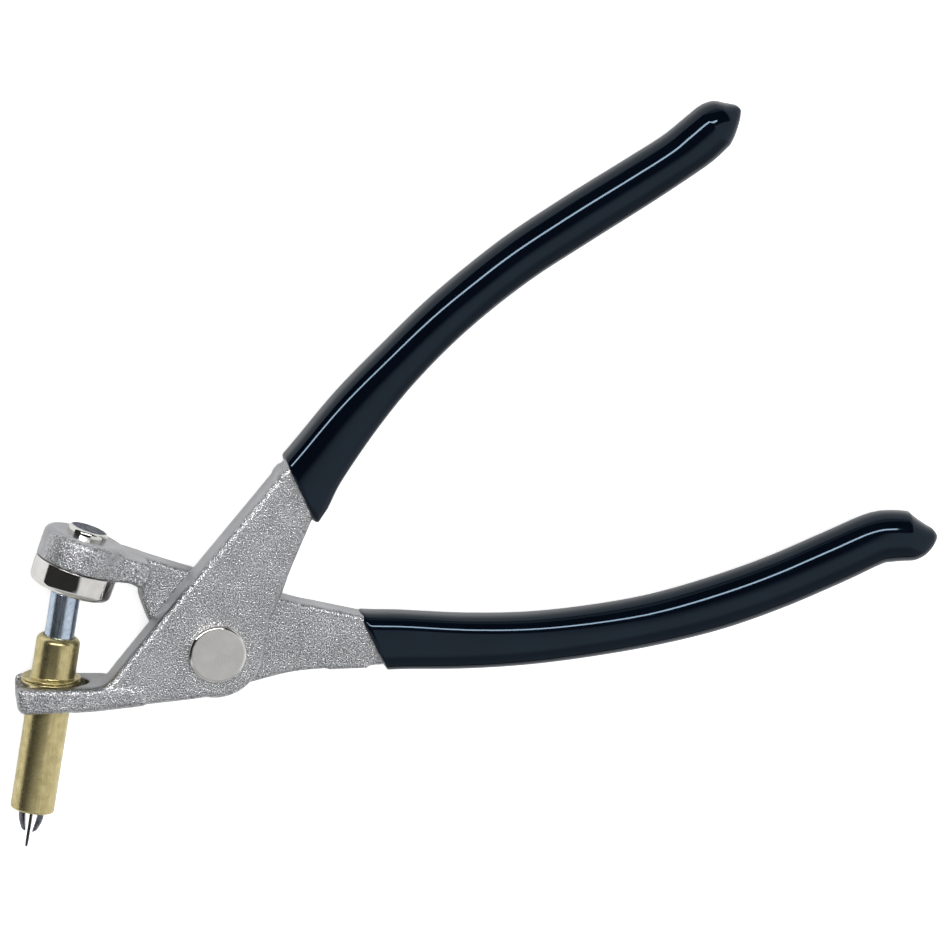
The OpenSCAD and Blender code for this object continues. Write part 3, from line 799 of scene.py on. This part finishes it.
# plunger: pin, collar inside the barrel and a thinner root that carries the legs
P_R, P_OUT, P_ROUND, ROOT_R, ROOT_LOW = 2.7, 8.25, 0.35, 1.9, -3.8
COLLAR_TOP, COLLAR_H, COLLAR_R = -1.1, 2, BARREL_R - WALL - 0.15
pts, faces = lathe(
    [(0, ROOT_LOW), (ROOT_R, ROOT_LOW), (ROOT_R, COLLAR_TOP - COLLAR_H), (COLLAR_R, COLLAR_TOP - COLLAR_H),
     (COLLAR_R, COLLAR_TOP - 0.1), (COLLAR_R - 0.1, COLLAR_TOP), (P_R, COLLAR_TOP)]
    + corner((P_R - P_ROUND, P_OUT - P_ROUND), P_ROUND, 0, 90, 6) + [(0, P_OUT)], on_pin)
mesh_object("plunger_pin", pts, faces, ZINC, "plunger_body", "plunger", sharp=35)


def rounded_bar(width, thick, round_r, count=6):
    """Cross-section of a flat bar with rounded edges."""
    out = []
    for cx, cy, a0 in ((1, 1, 0), (-1, 1, 90), (-1, -1, 180), (1, -1, 270)):
        out += corner((cx * (width / 2 - round_r), cy * (thick / 2 - round_r)), round_r, a0, a0 + 90, count)
    return np.array(out)


# spreader bar: flat strip that the photograph's view meets edge-on, with a round tip
SPREAD_W, SPREAD_T, SPREAD_ROUND = 3.2, 0.5, 0.045
bar_top, bar_tip, tip_length = 5.25 - BARREL_H, -BARREL_H - 7.0, 1.6
rings = []
for q in np.linspace(0, 1, 60):
    hh = bar_top + (bar_tip - bar_top) * (1 - (1 - q) ** 1.35)
    end = max(0.0, hh - bar_tip)
    round_w = math.sqrt(max(0.0, 1 - (1 - min(1.0, end / tip_length)) ** 2))
    section = rounded_bar(max(SPREAD_W * round_w, 0.12), SPREAD_T * max(0.35, round_w ** 0.5), SPREAD_ROUND)
    rings.append(on_turned(section[:, 1], section[:, 0], hh))
pts, faces = outward(*loft(rings))
mesh_object("spreader_strip", pts, faces, SPRING_STEEL, "barrel_body", "spreader_bar",
            sharp=50)

# hooked legs: half-round wires that swell into a barb below the barrel
LEG_ROOT = -4.98
LEG_TIP = -BARREL_H - 4.0
BARB = -BARREL_H - 0.05
# outer radius along the axis, from the root in the plunger to the tip
leg_profile = [(LEG_ROOT, 1.75), (BARB + 0.25, 1.75), (BARB + 0.02, 1.95), (BARB - 0.15, 2.25),
               (BARB - 1.1, 2.25), (BARB - 1.8, 2.14), (BARB - 2.4, 1.95), (LEG_TIP + 0.9, 1.68),
               (LEG_TIP + 0.4, 1.46), (LEG_TIP + 0.12, 1.22), (LEG_TIP + 0.02, 1.0)]
for side, node, body in ((-1, "left_leg", "left_leg_body"), (1, "right_leg", "right_leg_body")):
    hs = np.array([p[0] for p in leg_profile])
    rs = np.array([p[1] for p in leg_profile])
    rings = []
    for hh in np.concatenate([np.linspace(hs[0], BARB + 0.3, 14), np.linspace(BARB + 0.25, hs[-1], 44)]):
        r = np.interp(-hh, -hs, rs)
        inner = np.interp(-hh, [-LEG_ROOT, -BARB + 1, -LEG_TIP - 1.2, -LEG_TIP], [1.1, 1.1, 0.85, 0.62])
        inner = min(inner, r - 0.12)
        half = math.acos(inner / r)
        a = np.linspace(-half, half, 25)
        x, y = r * np.cos(a), r * np.sin(a)
        flat_y = np.linspace(y[-1], y[0], 11)[1:-1]
        x, y = np.concatenate([x, np.full(9, inner)]), np.concatenate([y, flat_y])
        # ease the two sharp edges of the half-round section
        cx = x.mean()
        soft = 1 - 0.06 * (np.abs(y) / np.abs(y).max()) ** 8
        rings.append(on_turned(side * (cx + (x - cx) * soft), y * soft, hh))
    pts, faces = outward(*loft(rings))
    mesh_object(node + "_wire", pts, faces, SPRING_STEEL, body, node, sharp=50)

# coil spring inside the barrel, between its end and the plunger's collar
WIRE_R, TURNS, STEPS, SIDES = 0.35, 11, 28, 10
coil_low, coil_high = 3.0 - BARREL_H + WIRE_R + 0.05, COLLAR_TOP - COLLAR_H - WIRE_R - 0.05
coil_r = BARREL_R - WALL - WIRE_R - 0.25
rings = []
for i in range(TURNS * STEPS + 1):
    a = 2 * math.pi * i / STEPS
    b = 2 * np.pi * np.arange(SIDES) / SIDES
    rr = coil_r + WIRE_R * np.cos(b)
    rings.append(on_pin(rr * math.cos(a), rr * math.sin(a),
                        coil_low + (coil_high - coil_low) * i / (TURNS * STEPS) + WIRE_R * np.sin(b)))
pts, faces = outward(*loft(rings))
spring = mesh_object("plunger_spring_coil", pts, faces, WIRE, "barrel_body", "plunger_spring")
anchor = on_pin(0, 0, coil_low - WIRE_R) * MM
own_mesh(spring)

# the bushing keeps its CAD shape, with a plated finish
bushing = frame["nodes"]["end_bushing"]
bushing.data.materials.clear()
bushing.data.materials.append(ZINC)

# ------------------------------------------------------------------ floor, camera and light
RIGHT = Vector((0.984, 0.0, 0.179))
UP = Vector((0.0463, 0.966, -0.2547))
BACK = Vector((-0.173, 0.259, 0.950))
TARGET = Vector((0.04818, 0.02923, 0.0077))
DISTANCE, VIEW_WIDTH, SENSOR = 3.0, 0.171, 36

BACK.normalize()
UP = (UP - UP.dot(BACK) * BACK).normalized()
RIGHT = UP.cross(BACK)

floor_mesh = bpy.data.meshes.new("floor")
FLOOR = 4.0
floor_mesh.from_pydata([(-FLOOR, -FLOOR, 0), (FLOOR, -FLOOR, 0), (FLOOR, FLOOR, 0), (-FLOOR, FLOOR, 0)],
                       [], [(0, 1, 2, 3)])
floor = bpy.data.objects.new("floor", floor_mesh)
bpy.context.scene.collection.objects.link(floor)
paper = Nodes("paper_floor")
# the glow lifts the floor's shadows towards white for the camera and leaves the tool's reflections alone
seen = paper.tree.nodes.new("ShaderNodeLightPath").outputs["Is Camera Ray"]
floor_mesh.materials.append(paper.set(
    Base_Color=paper.ramp(paper.noise(60.0, 3.0), [(0.3, (0.93, 0.93, 0.93)),
                                                   (0.7, (0.95, 0.95, 0.95))]),
    Roughness=0.9, Specular_IOR_Level=0.1, Emission_Color=(1.0, 1.0, 1.0),
    Emission_Strength=paper.math("MULTIPLY", seen, 0.6)))

camera_data = bpy.data.cameras.new("camera")
camera_data.sensor_width = SENSOR
camera_data.lens = SENSOR * DISTANCE / VIEW_WIDTH
camera_data.clip_end = 20
camera = bpy.data.objects.new("camera", camera_data)
bpy.context.scene.collection.objects.link(camera)
turn = Matrix((RIGHT, UP, BACK)).transposed().to_4x4()
camera.matrix_world = Matrix.Translation(TARGET + DISTANCE * BACK) @ turn
bpy.context.scene.camera = camera


def softbox(name, azimuth, elevation, width, height, radiance, distance=1.4):
    """Area light seen from the object at angles to the camera's direction, right and up in its frame."""
    a, e = math.radians(azimuth), math.radians(elevation)
    d = (RIGHT * math.sin(a) * math.cos(e) + UP * math.sin(e) + BACK * math.cos(a) * math.cos(e)).normalized()
    light = bpy.data.lights.new(name, "AREA")
    light.shape = "RECTANGLE"
    light.size, light.size_y = width, height
    light.energy = radiance * math.pi * width * height
    obj = bpy.data.objects.new(name, light)
    bpy.context.scene.collection.objects.link(obj)
    y = (UP - UP.dot(d) * d).normalized()
    obj.matrix_world = (Matrix.Translation(TARGET + d * distance)
                        @ Matrix((y.cross(d), y, d)).transposed().to_4x4())
    obj.visible_camera = False
    obj.visible_diffuse = False


# long thin strip, which draws the line along the grips
softbox("strip_softbox", -5, 11, 1.6, 0.16, 19.0)

# fill for the floor alone
sun_data = bpy.data.lights.new("floor_fill", "SUN")
sun_data.energy = 2.35
sun_data.angle = math.radians(60)
sun = bpy.data.objects.new("floor_fill", sun_data)
sun.matrix_world = Matrix.Rotation(math.radians(-18), 4, "X")
bpy.context.scene.collection.objects.link(sun)
sun.visible_glossy = False

# room: soft white all round, darker on the camera's side and to its left
world = bpy.data.worlds.new("studio")
bpy.context.scene.world = world
world.use_nodes = True
tree = world.node_tree
tree.nodes.clear()


def wmath(op, a, b=None):
    """A math node of the world's tree on numbers or outputs."""
    n = tree.nodes.new("ShaderNodeMath")
    n.operation = op
    for socket, x in zip(n.inputs, (a, b)):
        if x is None:
            continue
        if isinstance(x, (int, float)):
            socket.default_value = x
        else:
            tree.links.new(x, socket)
    return n.outputs[0]


def smooth_step(value, a, b):
    """0 below a and 1 above b, or the other way round where b is the smaller."""
    n = tree.nodes.new("ShaderNodeMapRange")
    n.interpolation_type = "SMOOTHSTEP"
    tree.links.new(value, n.inputs["Value"])
    n.inputs["From Min"].default_value = a
    n.inputs["From Max"].default_value = b
    return n.outputs["Result"]


direction = tree.nodes.new("ShaderNodeTexCoord").outputs["Generated"]


def along(axis):
    """Part of the direction along an axis."""
    n = tree.nodes.new("ShaderNodeVectorMath")
    n.operation = "DOT_PRODUCT"
    tree.links.new(direction, n.inputs[0])
    n.inputs[1].default_value = tuple(axis)
    return n.outputs["Value"]


right, up, back = along(RIGHT), along(UP), along(BACK)
azimuth = wmath("DEGREES", wmath("ARCTAN2", right, back))
elevation = wmath("DEGREES", wmath("ARCSINE", up))
DARK, LOW, RISE, BACKDROP = 0.03, 0.42, 0.40, 1.0
# higher up, the darkness reaches further to the right
right_edge = wmath("SUBTRACT", azimuth, wmath("MULTIPLY", smooth_step(elevation, -8, 4), 45.0))
dark = wmath("MULTIPLY",
             wmath("MULTIPLY", smooth_step(azimuth, -118, -108), smooth_step(right_edge, 24, 14)),
             wmath("MULTIPLY", smooth_step(elevation, -38, -28), smooth_step(elevation, 60, 50)))
# the rest of the room is dimmer near the ground, behind on the right and overhead
room = wmath("ADD", LOW, wmath("MULTIPLY", smooth_step(elevation, -50, -36), RISE))
for mask, loss in ((smooth_step(azimuth, 112, 122), 0.7), (smooth_step(elevation, 46, 60), 0.45)):
    room = wmath("MULTIPLY", room, wmath("SUBTRACT", 1.0, wmath("MULTIPLY", mask, loss)))
level = wmath("ADD", wmath("MULTIPLY", room, wmath("SUBTRACT", 1.0, dark)), wmath("MULTIPLY", dark, DARK))
is_camera = tree.nodes.new("ShaderNodeLightPath").outputs["Is Camera Ray"]
strength = wmath("ADD", wmath("MULTIPLY", level, wmath("SUBTRACT", 1.0, is_camera)),
                 wmath("MULTIPLY", is_camera, BACKDROP))
background = tree.nodes.new("ShaderNodeBackground")
background.inputs["Color"].default_value = (1, 1, 1, 1)
tree.links.new(strength, background.inputs["Strength"])
tree.links.new(background.outputs[0], tree.nodes.new("ShaderNodeOutputWorld").inputs["Surface"])

bpy.context.scene.view_settings.view_transform = "Standard"
